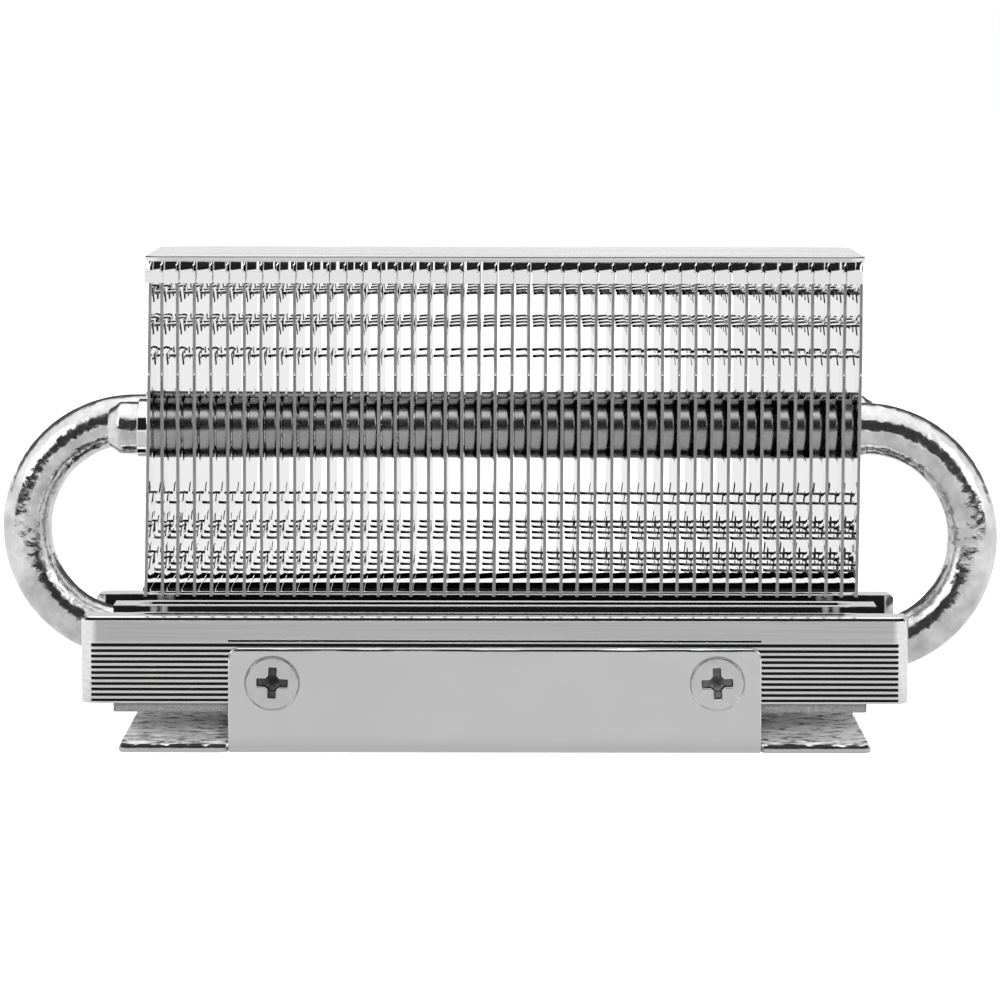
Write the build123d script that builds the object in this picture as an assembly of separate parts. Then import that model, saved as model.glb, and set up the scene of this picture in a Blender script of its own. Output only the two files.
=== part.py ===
from build123d import *
import os

# Heat sink for a stick-shaped solid state drive: a grooved base block, two bent heat pipes,
# a stack of thin fins with a cover sheet, two soft pads, and a folded clip held by four screws.
# Millimetres. X runs along the length, Y across it, and Z up from the underside of the clip.

# Room that the drive takes between the two pads
drive_space = 2.7

# Soft pads
pad_width = 20.0
upper_pad_length = 71.2
upper_pad_thickness = 1.0
upper_pad_shift = -0.45
lower_pad_length = 70.6
lower_pad_thickness = 0.5

# Clip, folded from one steel sheet
clip_sheet = 0.5
clip_length = 71.0
clip_corner = 1.0
clip_bend = 0.3
flange_length = 50.2
flange_corner = 1.0
flange_edge = 0.83

# Countersunk screws through the clip's flanges
screw_diameter = 2.5
screw_head_diameter = 5.0
screw_head_height = 0.5
screw_length = 4.0
screw_inset = 4.15
screw_rise = 1.97
screw_gap = 0.05
hole_past_screw = 0.25
recess_span = 2.8
recess_arm = 0.78
recess_depth = 0.8
recess_tip = 0.8

# Base block
base_length = 78.0
base_width = 22.6
base_height = 8.2
base_corner = 1.4
base_chamfer = 0.28
base_edge_round = 0.25
rib_cutback = 2.4
relief_length = 7.0
relief_side = 0.35

# Fine grooves along the base's sides: an even row, one more above it, and a cut over each flange
groove_count = 10
groove_pitch = 0.52
groove_width = 0.22
groove_depth = 0.4
groove_rise = 0.29
groove_inset = 1.0
upper_groove_rise = 5.56
flange_cut_rise = 5.91
flange_cut_width = 0.17

# Heat pipes
pipe_diameter = 5.0
pipe_spacing = 9.8
pipe_bend_radius = 10.4
pipe_sink = 1.0
pipe_gap = 0.05
pipe_lead = 0.55
pipe_tail = 1.8
pipe_short = 2.9
pipe_tip_diameter = 3.7
pipe_tip_length = 1.1

# Fins
fin_count = 44
fin_sheet = 0.3
fin_gap = 1.254
fin_depth = 22.8
fin_height = 31.45
fin_lift = 1.95
fin_shift = 0.78
flange_gap = 0.05
flap_height = 1.25
flap_drop = 0.8
foot_length = 14.4
end_flange = 0.45
collar_wall = 0.25
collar_gap = 0.25
collar_flats = 8

# Bent tabs that stiffen a fin, in rows either side of the pipes, and the windows they come out of
tab_width = 2.2
tab_sheet = 0.25
tab_gap = 0.3
tab_row_first = 7.0
tab_row_pitch = 3.05
tab_pitch = 5.3
tab_rows = (2, 4, 4)
window_height = 0.85

# Cover sheet on the fins
cover_sheet = 0.5
cover_corner = 1.5
cover_end_overhang = 0.18
cover_side_overhang = 0.1
cover_shift = 0.14

# Heights, from the underside of the clip upwards
lower_pad_bottom = clip_sheet
drive_bottom = lower_pad_bottom + lower_pad_thickness
drive_top = drive_bottom + drive_space
base_bottom = drive_top + upper_pad_thickness
base_top = base_bottom + base_height
screw_z = base_bottom + screw_rise
flange_top = screw_z + screw_head_diameter / 2 + flange_edge
pipe_radius = pipe_diameter / 2
lower_leg_z = base_top - pipe_sink - pipe_radius
upper_leg_z = lower_leg_z + 2 * pipe_bend_radius
fin_bottom = base_top + fin_lift
fin_top = fin_bottom + fin_height

# Places along the length
fin_pitch = fin_sheet + fin_gap
stack_length = fin_count * fin_sheet + (fin_count - 1) * fin_gap
stack_left = fin_shift - stack_length / 2
stack_right = stack_left + stack_length
bend_x = stack_right + pipe_lead
screw_x = flange_length / 2 - screw_inset

# Places across the width
pipe_y = pipe_spacing / 2
flange_face = base_width / 2 + clip_sheet
channel_radius = pipe_radius + pipe_gap


def box(x, y, z):
    """A box given by its lowest and highest place along each axis."""
    size = [high - low for low, high in (x, y, z)]
    middle = [(high + low) / 2 for low, high in (x, y, z)]
    return Pos(*middle) * Box(*size)


def screw_places():
    """Where each screw's head lies, with the outward direction of its face."""
    for side in (-1, 1):
        for end in (-1, 1):
            origin = (end * screw_x, side * flange_face, screw_z)
            yield Plane(origin, x_dir=(1, 0, 0), z_dir=(0, side, 0)).location


def screw_form(gap, length):
    """Countersunk head and shank under the XY plane, larger all round by the gap."""
    head_radius = screw_head_diameter / 2
    shank_radius = screw_diameter / 2
    cone = Cone(shank_radius + gap, head_radius + gap, screw_head_height)
    head = Pos(0, 0, -screw_head_height / 2) * cone
    shank = Pos(0, 0, -length / 2) * Cylinder(shank_radius + gap, length)
    return head + shank


def screw():
    """One screw, with a cross recess whose arms narrow towards their floor."""
    cross = Box(recess_span, recess_arm, 2 * recess_depth) + Box(recess_arm, recess_span, 2 * recess_depth)
    taper = Pos(0, 0, -recess_depth / 2) * Cone(recess_tip, recess_span / 2, recess_depth)
    return screw_form(0, screw_length) - (cross & taper)


def clip_screws():
    """The four equal screws."""
    return Compound(children=[place * screw() for place in screw_places()])


def clip_bracket():
    """Flat plate under the drive, with a flange folded up at each side."""
    plate_form = RectangleRounded(clip_length, base_width, clip_corner)
    plate = extrude(plate_form, clip_sheet)
    outer = Plane.YZ * Pos(0, flange_top / 2) * Rectangle(2 * flange_face, flange_top)
    outside_bend = clip_bend + clip_sheet
    outer = fillet(outer.vertices().group_by(Axis.Z)[0], outside_bend)
    inner_height = flange_top - clip_sheet
    inner = Plane.YZ * Pos(0, clip_sheet + inner_height / 2) * Rectangle(base_width, inner_height)
    inner = fillet(inner.vertices().group_by(Axis.Z)[0], clip_bend)
    folded = extrude(outer - inner, flange_length / 2, both=True)
    top_corners = folded.edges().filter_by(Axis.Y).group_by(Axis.Z)[-1]
    clip = plate + fillet(top_corners, flange_corner)
    for place in screw_places():
        clip -= place * screw_form(screw_gap, screw_length)
    return clip


def thermal_pad(length, bottom, thickness):
    """A soft pad cut square from a sheet."""
    return Pos(0, 0, bottom + thickness / 2) * Box(length, pad_width, thickness)


def pipe_channel(y):
    """Round-bottomed channel for a pipe's lower leg, open at the top and wider near the ends."""
    floor = Plane.YZ * Pos(y, lower_leg_z) * Circle(channel_radius)
    rise = base_top - lower_leg_z
    mouth = Plane.YZ * Pos(y, lower_leg_z + rise / 2) * Rectangle(2 * channel_radius, rise)
    channel = extrude(floor + mouth, base_length / 2, both=True)
    width = 2 * (channel_radius + relief_side)
    for end in (-1, 1):
        relief = Pos(end * base_length / 2, y, lower_leg_z) * SlotCenterToCenter(
            2 * relief_length - width, width
        )
        channel += extrude(relief, rise)
    return channel


def side_cuts():
    """Length, rise and width of each cut along the base's side."""
    groove_length = base_length - 2 * groove_inset
    for i in range(groove_count):
        yield groove_length, groove_rise + i * groove_pitch, groove_width
    yield groove_length, upper_groove_rise, groove_width
    yield flange_length, flange_cut_rise, flange_cut_width


def base_block():
    """Block that takes the drive's heat, with two channels on top and fine grooves along each side."""
    block = Pos(0, 0, base_bottom) * extrude(
        RectangleRounded(base_length, base_width, base_corner), base_height
    )
    block = chamfer(block.edges().group_by(Axis.Z)[-1], base_chamfer)
    block = fillet(block.edges().group_by(Axis.Z)[-3], base_edge_round)
    for side in (-1, 1):
        block -= pipe_channel(side * pipe_y)
    for end in (-1, 1):
        inside = base_length / 2 - rib_cutback
        block -= box(
            sorted((end * inside, end * base_length / 2)), (-pipe_y, pipe_y), (lower_leg_z, base_top)
        )
    for side in (-1, 1):
        for length, rise, width in side_cuts():
            block -= box(
                (-length / 2, length / 2),
                sorted((side * (base_width / 2 - groove_depth), side * base_width / 2)),
                (base_bottom + rise - width / 2, base_bottom + rise + width / 2),
            )
    for place in screw_places():
        block -= place * screw_form(screw_gap, screw_length + hole_past_screw)
    return block


def heat_pipe():
    """Sealed pipe with one bend at the right: the lower leg lies in the base, the upper one carries fins."""
    lower_end = -(bend_x - pipe_short)
    upper_end = -(bend_x + pipe_tail)
    body = pipe_tip_length
    lower = Line((lower_end + body, 0, lower_leg_z), (bend_x, 0, lower_leg_z))
    bend = TangentArc(lower @ 1, (bend_x, 0, upper_leg_z), tangent=lower % 1)
    upper = Line(bend @ 1, (upper_end + body, 0, upper_leg_z))
    start = Plane(lower @ 0, z_dir=lower % 0)
    pipe = sweep(start * Circle(pipe_radius), path=Wire([lower, bend, upper]))
    for end, height in ((lower_end, lower_leg_z), (upper_end, upper_leg_z)):
        tip = Cone(pipe_radius, pipe_tip_diameter / 2, body, rotation=(0, -90, 0))
        pipe += Pos(end + body / 2, 0, height) * tip
    return pipe


def tab_places():
    """Across and up places of a fin's bent tabs, each row a mirror image of one beyond the pipes."""
    for row, count in enumerate(tab_rows):
        pitch = pipe_spacing if count == 2 else tab_pitch
        for i in range(count):
            y = (i - (count - 1) / 2) * pitch
            rise = tab_row_first + row * tab_row_pitch
            yield y, upper_leg_z + rise
            yield y, upper_leg_z - rise


def fin(left, is_first, is_last):
    """One fin, whose collars, flaps and foot stand towards the next fin on its left. Tabs and windows
    are shown on the last fin, and windows alone on the first, whose tabs are trimmed off."""
    plate = (left, left + fin_sheet)
    reach = end_flange if is_first else fin_gap - flange_gap
    beside = (left - reach, left)
    half = fin_depth / 2
    shape = box(plate, (-half, half), (fin_bottom, fin_top))
    flap_z = (fin_top - flap_drop - flap_height, fin_top - flap_drop)
    shape += box(beside, (-half, -half + fin_sheet), flap_z)
    shape += box(beside, (half - fin_sheet, half), flap_z)
    shape += box(beside, (-foot_length / 2, foot_length / 2), (fin_bottom, fin_bottom + fin_sheet))
    if is_first or is_last:
        for y, z in tab_places():
            shape -= window(plate, y, z)
    if is_last:
        for y, z in tab_places():
            shape += tab((left - fin_gap + tab_gap, left), y, z)
    collar_length = fin_gap - collar_gap
    for side in (-1, 1):
        foot = Plane.YZ.offset(left - collar_length) * Pos(side * pipe_y, upper_leg_z)
        outer = collar_section(channel_radius + collar_wall, is_first)
        inner = collar_section(channel_radius, is_first)
        shape += extrude(foot * outer, collar_length)
        shape -= extrude(foot * inner, collar_length + fin_sheet)
    return shape


def tab(reach, y, z):
    """One bent tab, as long as the reach."""
    return box(reach, (y - tab_width / 2, y + tab_width / 2), (z - tab_sheet / 2, z + tab_sheet / 2))


def window(plate, y, z):
    """The opening that a tab is bent out of, on the pipes' side of it."""
    towards_pipes = 1 if z < upper_leg_z else -1
    hinge = z + towards_pipes * tab_sheet / 2
    rows = sorted((hinge, hinge + towards_pipes * window_height))
    return box(plate, (y - tab_width / 2, y + tab_width / 2), rows)


def collar_section(radius, is_round):
    """A collar's outline: round on the end fin, and with flats round the same circle on the others."""
    if is_round:
        return Circle(radius)
    return RegularPolygon(radius, collar_flats, major_radius=False, rotation=180 / collar_flats)


def top_cover():
    """Flat sheet with rounded corners on top of the fins."""
    length = stack_length + 2 * cover_end_overhang
    width = fin_depth + 2 * cover_side_overhang
    form = RectangleRounded(length, width, cover_corner)
    return Pos(fin_shift + cover_shift, 0, fin_top) * extrude(form, cover_sheet)


os.makedirs("parts", exist_ok=True)
export_step(clip_bracket(), "parts/clip_bracket.step")
export_step(clip_screws(), "parts/clip_screws.step")
lower_pad = thermal_pad(lower_pad_length, lower_pad_bottom, lower_pad_thickness)
export_step(lower_pad, "parts/thermal_pad_lower.step")
upper_pad = Pos(upper_pad_shift, 0, 0) * thermal_pad(upper_pad_length, drive_top, upper_pad_thickness)
export_step(upper_pad, "parts/thermal_pad_upper.step")
export_step(base_block(), "parts/base_block.step")
front_pipe = Pos(0, -pipe_y, 0) * heat_pipe()
export_step(front_pipe, "parts/heat_pipe_front.step")
export_step(Rot(0, 0, 180) * front_pipe, "parts/heat_pipe_rear.step")
for i in range(fin_count):
    fin_left = stack_left + i * fin_pitch
    export_step(fin(fin_left, i == 0, i == fin_count - 1), f"parts/fin_{i + 1:02d}.step")
export_step(top_cover(), "parts/top_cover.step")
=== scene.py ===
"""Looks of a heat sink for a stick-shaped solid state drive: mirror-bright stamped fins on two bent heat
pipes, a brushed base block, a folded clip with four screws, and two soft pads, in a plain white studio.

Sizes here are in millimetres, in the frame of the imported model, and become metres in each mesh."""

import math

import bpy
import numpy as np
from mathutils import Matrix, Vector


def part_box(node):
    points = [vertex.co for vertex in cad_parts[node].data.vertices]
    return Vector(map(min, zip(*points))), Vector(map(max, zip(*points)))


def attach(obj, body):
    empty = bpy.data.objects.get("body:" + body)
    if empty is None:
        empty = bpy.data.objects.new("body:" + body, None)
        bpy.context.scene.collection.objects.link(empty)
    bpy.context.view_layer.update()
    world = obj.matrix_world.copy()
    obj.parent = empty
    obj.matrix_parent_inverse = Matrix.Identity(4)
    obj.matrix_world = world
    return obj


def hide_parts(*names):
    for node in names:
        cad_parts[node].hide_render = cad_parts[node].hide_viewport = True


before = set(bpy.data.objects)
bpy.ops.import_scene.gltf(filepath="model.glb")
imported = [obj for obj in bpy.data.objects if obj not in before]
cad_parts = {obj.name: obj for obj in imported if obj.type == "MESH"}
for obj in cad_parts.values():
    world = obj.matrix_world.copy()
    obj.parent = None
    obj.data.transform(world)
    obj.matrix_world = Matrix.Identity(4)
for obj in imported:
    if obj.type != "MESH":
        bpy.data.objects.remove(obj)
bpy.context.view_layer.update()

MM = 0.001

# Fins
FIN_COUNT = 44
FIN_SHEET = 0.3
FIN_GAP = 1.254
FIN_HALF = 11.4
FIN_BOTTOM = 14.85
FIN_TOP = 46.3
FOOT_HALF = 7.2
# Half width of the foot's middle, which keeps the bright skin; outside it the foot's fold is painted shade
FOOT_BRIGHT = 1.9
FOLD_REACH = 1.18
END_REACH = 0.42
FLAP_LOW, FLAP_HIGH = 44.25, 45.5
COLLAR_REACH = 1.2
COLLAR_BORE = 2.55
COLLAR_OUTSIDE = 2.8
COLLAR_FILLET = 0.38
COLLAR_BLOCK = 3.35
TAB_SHEET = 0.25
TAB_REACH = 0.95
TAB_CORNER = 0.6
TAB_DROOP = 0.09
TAB_PULL = 0.12
WINDOW_HEIGHT = 1.1
NICK_HEIGHTS = (19.2, 24.75, 35.7, 41.35)
PIPE_Y = 4.9
UPPER_LEG_Z = 30.2

# Rows of tabs, below and above the pipes: side, hinge height, tabs' places from the middle, tab width
TAB_ROWS = [
    (side, UPPER_LEG_Z + side * (rise + TAB_SHEET / 2), middles, width)
    for rise, middles, width in ((7.0, (4.9,), 2.3), (10.05, (2.65, 7.95), 2.2), (13.1, (2.65, 7.95), 2.2))
    for side in (-1, 1)
]

# How far a fin stands from its node's place along X, by its number: the inner fins are spread a little
# wider than even, and the outermost are pressed in
SPREAD_NUMBERS = (1, 2, 3, 8, 15, 22, 30, 40, 42, 43, 44)
SPREAD = (0.12, -0.13, -0.21, -0.18, -0.04, 0.0, 0.1, 0.15, 0.06, 0.0, -0.05)
LEAN = math.radians(0.13)
FIRST_LEAN = math.radians(1.15)
LAST_LEAN = math.radians(0.45)

# Finishes of a fin's faces; the last is painted shade, a near-black matt finish on the foot's outer folds and
# the collars' ends
SKIN, SHEARED, LANCED, DRAWN, PAINTED_SHADE = 0, 1, 2, 3, 4

# The lower pad reaches the plate's edges outside the flanges, and stays between the flanges inside
PAD_HALF = 10.95
PAD_FLARE = 0.72

# Heat pipes
PIPE_RADIUS = 2.5
LOWER_LEG_Z = 9.4
BEND_X = 34.891
BEND_RADIUS = 10.4
LOWER_END = -31.991
UPPER_END = -36.691
TIP_RADIUS = 1.85
TIP_LENGTH = 1.1


# Surfaces: every patch is an array of four-cornered faces, (faces, 4, 3), each with its corners' places


def grid_faces(points):
    """Faces of a grid of points. Their outward side is the cross product of the way from row to row
    and the way from column to column."""
    corners = [points[:-1, :-1], points[1:, :-1], points[1:, 1:], points[:-1, 1:]]
    return np.stack(corners, -2).reshape(-1, 4, 3)


def flipped(faces):
    """The same faces with their outward sides turned round."""
    return faces[:, ::-1]


def mirrored(faces, axis):
    """Mirror image of the faces across one axis, with their outward sides kept outward."""
    image = faces.copy()
    image[..., axis] = 0.0 - image[..., axis]
    return flipped(image)


def weld(patches):
    """Joins patches, each with the number of its finish, into points, faces and finishes. Corners that
    agree to a ten-thousandth of a millimetre become one point, and a face that loses a side becomes a
    triangle or goes."""
    corners = np.concatenate([faces for faces, finish in patches]).reshape(-1, 3)
    finish = np.concatenate([np.full(len(faces), number) for faces, number in patches])
    keys = np.round(corners, 4) + 0.0
    _, first, index = np.unique(keys, axis=0, return_index=True, return_inverse=True)
    faces = index.reshape(-1, 4)
    same = faces == np.roll(faces, -1, axis=1)
    lost = same.sum(1)
    fours, threes = lost == 0, lost == 1
    triangles = faces[threes][~same[threes]].reshape(-1, 3)
    every_face = faces[fours].tolist() + triangles.tolist()
    return corners[first], every_face, np.concatenate([finish[fours], finish[threes]])


def in_scene(name, data):
    """A new object in the scene."""
    thing = bpy.data.objects.new(name, data)
    bpy.context.scene.collection.objects.link(thing)
    return thing


def make_piece(name, shape, materials, slot, sharp, *nodes):
    """A finished piece: its mesh in metres from points, faces and finishes, smooth but for edges sharper
    than the given angle, riding on the one body and standing for its CAD nodes."""
    points, faces, finish = shape
    mesh = bpy.data.meshes.new(name)
    mesh.from_pydata((points * MM).tolist(), [], faces)
    mesh.polygons.foreach_set("use_smooth", np.ones(len(faces), bool))
    for material in materials:
        mesh.materials.append(material)
    mesh.polygons.foreach_set("material_index", np.asarray(finish, np.int32))
    mesh.update()
    mesh.set_sharp_from_angle(angle=math.radians(sharp))
    piece = in_scene(name, mesh)
    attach(piece, "root")
    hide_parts(*nodes)
    return piece


def ripple(u, v, seed, count, low, high):
    """Sum of cosines of u and v, about one in height, with seeded directions and phases, and wave lengths
    between low and high."""
    draw = np.random.default_rng(seed)
    heading = draw.uniform(0, 2 * math.pi, count)
    pitch = 2 * math.pi / draw.uniform(low, high, count)
    phases = draw.uniform(0, 2 * math.pi, count)
    total = np.zeros(np.broadcast(u, v).shape)
    for a, b, phase in zip(np.cos(heading) * pitch, np.sin(heading) * pitch, phases):
        total = total + np.cos(a * u + b * v + phase)
    return total / math.sqrt(count)


def quarter(count):
    """Angles of a quarter turn, evenly spaced."""
    return np.radians(np.linspace(0, 90, count))


def step(edge_low, edge_high, x):
    """Smooth step: 0 up to the first edge, 1 from the second, with a gentle S between them."""
    t = np.clip((x - edge_low) / (edge_high - edge_low), 0, 1)
    return t * t * (3 - 2 * t)


# Sheet metal, in its own coordinates: a along it, b up it, and n through its thickness


def sheet(a, b, state, joined, thickness):
    """Both skins of a flat sheet cut into cells by the lines a and b, and its walls. State is 0 for a
    cell of sheet, 1 for an open one, and 2 for one that another patch fills. State 3 is filled by a
    fold that ends at lines of a, and 4 by one that ends at lines of b. A wall stands on each line
    between sheet and opening or fold's end, except where joined says that a bent tab goes on."""
    grid = np.stack(np.broadcast_arrays(a[:, None], b[None, :], 0.0), -1)
    skin = grid_faces(grid).reshape(len(a) - 1, len(b) - 1, 4, 3)[state == 0]
    upper = skin + (0, 0, thickness)
    walls = []
    for axis in (0, 1):
        lower_cell = state[:-1] if axis == 0 else state[:, :-1]
        upper_cell = state[1:] if axis == 0 else state[:, 1:]
        for here, there, turn in ((lower_cell, upper_cell, False), (upper_cell, lower_cell, True)):
            wall = (here == 0) & ((there == 1) | (there == 3 + axis))
            if axis == 1:
                wall &= ~joined[:, 1:-1]
            i, j = np.nonzero(wall)
            if axis == 0:
                ends = np.stack([np.c_[a[i + 1], b[j]], np.c_[a[i + 1], b[j + 1]]], 1)
            else:
                ends = np.stack([np.c_[a[i + 1], b[j + 1]], np.c_[a[i], b[j + 1]]], 1)
            low = np.concatenate([ends, np.zeros((len(i), 2, 1))], -1)
            faces = np.concatenate([low, low[:, ::-1] + (0, 0, thickness)], 1)
            walls.append(flipped(faces) if turn else faces)
    return np.concatenate([flipped(skin), upper]), np.concatenate(walls)


def round_hole(a, b, centre, profile, first, last):
    """Patch between a square block of cells and a round hole. The profile gives radius and depth from
    the skin at depth first, through the hole, to the skin at depth last; each of its points is carried
    round the centre in the directions of the points on the block's outline."""
    sides = ((a, b[0]), (a[-1], b), (a[::-1], b[-1]), (a[0], b[::-1]))
    low, right, high, left = (np.stack(np.broadcast_arrays(*side), -1) for side in sides)
    ring = np.concatenate([low[:-1], right[:-1], high[:-1], left])
    away = ring - centre
    away = away / np.linalg.norm(away, axis=1, keepdims=True)
    rows = [np.c_[ring, np.full(len(ring), first)]]
    for radius, depth in profile:
        rows.append(np.c_[centre + away * radius, np.full(len(ring), depth)])
    if last is not None:
        rows.append(np.c_[ring, np.full(len(ring), last)])
    return grid_faces(np.stack(rows))


# Fins


def collar_profile():
    """A drawn collar: the skin turns through a quarter circle into the collar's outside, round its
    blunt end, back along the bore, and through a wider quarter circle out to the other skin."""
    middle = COLLAR_OUTSIDE + COLLAR_FILLET
    turn = quarter(5)
    root = [(middle - COLLAR_FILLET * math.sin(t), -COLLAR_FILLET * (1 - math.cos(t))) for t in turn]
    end = [(COLLAR_OUTSIDE, -0.68), (COLLAR_OUTSIDE, 0.06 - COLLAR_REACH)]
    end += [(COLLAR_OUTSIDE - 0.06, -COLLAR_REACH), (COLLAR_BORE + 0.04, -COLLAR_REACH)]
    end += [(COLLAR_BORE, 0.04 - COLLAR_REACH)]
    wide = middle - COLLAR_BORE
    deep = FIN_SHEET + COLLAR_FILLET
    mouth = [(middle - wide * math.cos(t), -COLLAR_FILLET + deep * math.sin(t)) for t in turn]
    return root + end + mouth


FOLD_ARC = [(FIN_SHEET * math.cos(t), FIN_SHEET * (1 - math.sin(t))) for t in quarter(6)]


def fold_profile(reach):
    """A fold's outer and inner lines, as depth through the sheet and distance in from its edge: a
    quarter circle from the far skin to the edge, then straight for the reach."""
    straight = ((-0.06, 0.0), (0.05 - reach, 0.0), (-reach, 0.05))
    inner = [(0.0, FIN_SHEET)] * 6 + [(depth, FIN_SHEET - inward) for depth, inward in straight]
    return np.array(FOLD_ARC + list(straight)), np.array(inner)


def fold(reach, stations, place):
    """A sheet's edge folded over: the fold's profile carried along the edge, with its ends closed. Each
    station gives the place along, how much the reach is cut there, and how far the outer face is worn
    in. Place puts a profile at one place along. Returns the skin as (segments of the profile, steps
    along, 4, 3), and the ends' faces."""
    lines = []
    for at, cut, worn in stations:
        outer, inner = fold_profile(reach - cut)
        outer = outer + np.minimum(np.arange(len(outer)) / 5.0, 1.0)[:, None] * (0.0, worn)
        lines.append((at, np.concatenate([outer, inner[::-1][:4]]), outer, inner))
    skin = np.stack([place(line, at) for at, line, outer, inner in lines], 1)
    ends = []
    for (at, line, outer, inner), turn in ((lines[0], True), (lines[-1], False)):
        faces = grid_faces(np.stack([place(outer, at), place(inner, at)], 1))
        ends.append(flipped(faces) if turn else faces)
    return grid_faces(skin).reshape(len(line) - 1, len(stations) - 1, 4, 3), np.concatenate(ends)


def bare_arc(low, high, place):
    """A rounded edge with no flap: the quarter circle of a fold, from skin to skin, closed at its top."""
    arc = np.array(FOLD_ARC)
    around = np.concatenate([arc, [(0.0, FIN_SHEET)]])
    skin = np.stack([place(around, at) for at in (low, high)], 1)
    cap = np.stack([place(arc, high), place(np.tile((0.0, FIN_SHEET), (len(arc), 1)), high)], 1)
    return np.concatenate([grid_faces(skin), grid_faces(cap)])


def tab(middle, hinge, width, droop):
    """One lanced tab, as its bright faces and its cut ones: its section starts in the sheet, turns
    through a quarter circle at the hinge and runs out with a little droop, and its half width falls as
    a quarter circle to round the free corners."""
    turn = quarter(4)
    corner = np.radians((0, 25, 50, 75))
    flat = TAB_REACH - TAB_CORNER
    x = np.r_[FIN_SHEET * np.cos(turn), -flat - TAB_CORNER * np.sin(corner)]
    low_x = np.r_[np.zeros(4), -flat - TAB_CORNER * np.sin(corner)]
    droop = droop * (np.maximum(-x, 0) / TAB_REACH) ** 1.5
    top = hinge + np.r_[TAB_SHEET * np.sin(turn), np.full(4, TAB_SHEET)] + droop
    bottom = hinge + droop
    half = np.r_[np.full(4, width / 2), width / 2 - TAB_CORNER * (1 - np.cos(corner))]
    right, left = middle + half, middle - half
    corners = (right, top, x), (left, top, x), (left, bottom, low_x), (right, bottom, low_x)
    tube = np.stack([np.stack(corner, -1) for corner in (*corners, corners[0])], 1)
    end = tube[-1, :4][None, ::-1]
    sides = grid_faces(tube).reshape(-1, 4, 4, 3)
    return sides[:, ::2].reshape(-1, 4, 3), np.concatenate([sides[:, 1::2].reshape(-1, 4, 3), end])


def fin_lines():
    """The lines that cut a fin into cells: across it, at each window, collar block and foot, and up it,
    at each hinge, window, block, flap and nick."""
    half = [1.55, 2.3, 3.05, 3.75, 4.5, 5.3, 6.05, 6.85, FOOT_HALF, 8.25, 9.05]
    half = np.array([*half, FIN_HALF - FIN_SHEET, FIN_HALF])
    across = np.r_[-half[::-1], half]
    up = [FIN_BOTTOM, FIN_BOTTOM + FIN_SHEET, FLAP_LOW, FLAP_HIGH, FIN_TOP]
    for side, hinge, middles, width in TAB_ROWS:
        up += [hinge - side * away for away in (-0.3, 0.0, 0.35, 0.7, WINDOW_HEIGHT)]
    up += list(UPPER_LEG_Z + np.linspace(-COLLAR_BLOCK, COLLAR_BLOCK, 9))
    up += [nick + away for nick in NICK_HEIGHTS for away in (-0.14, 0.0, 0.14)]
    return np.round(across, 4), np.unique(np.round(up, 4))


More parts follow.
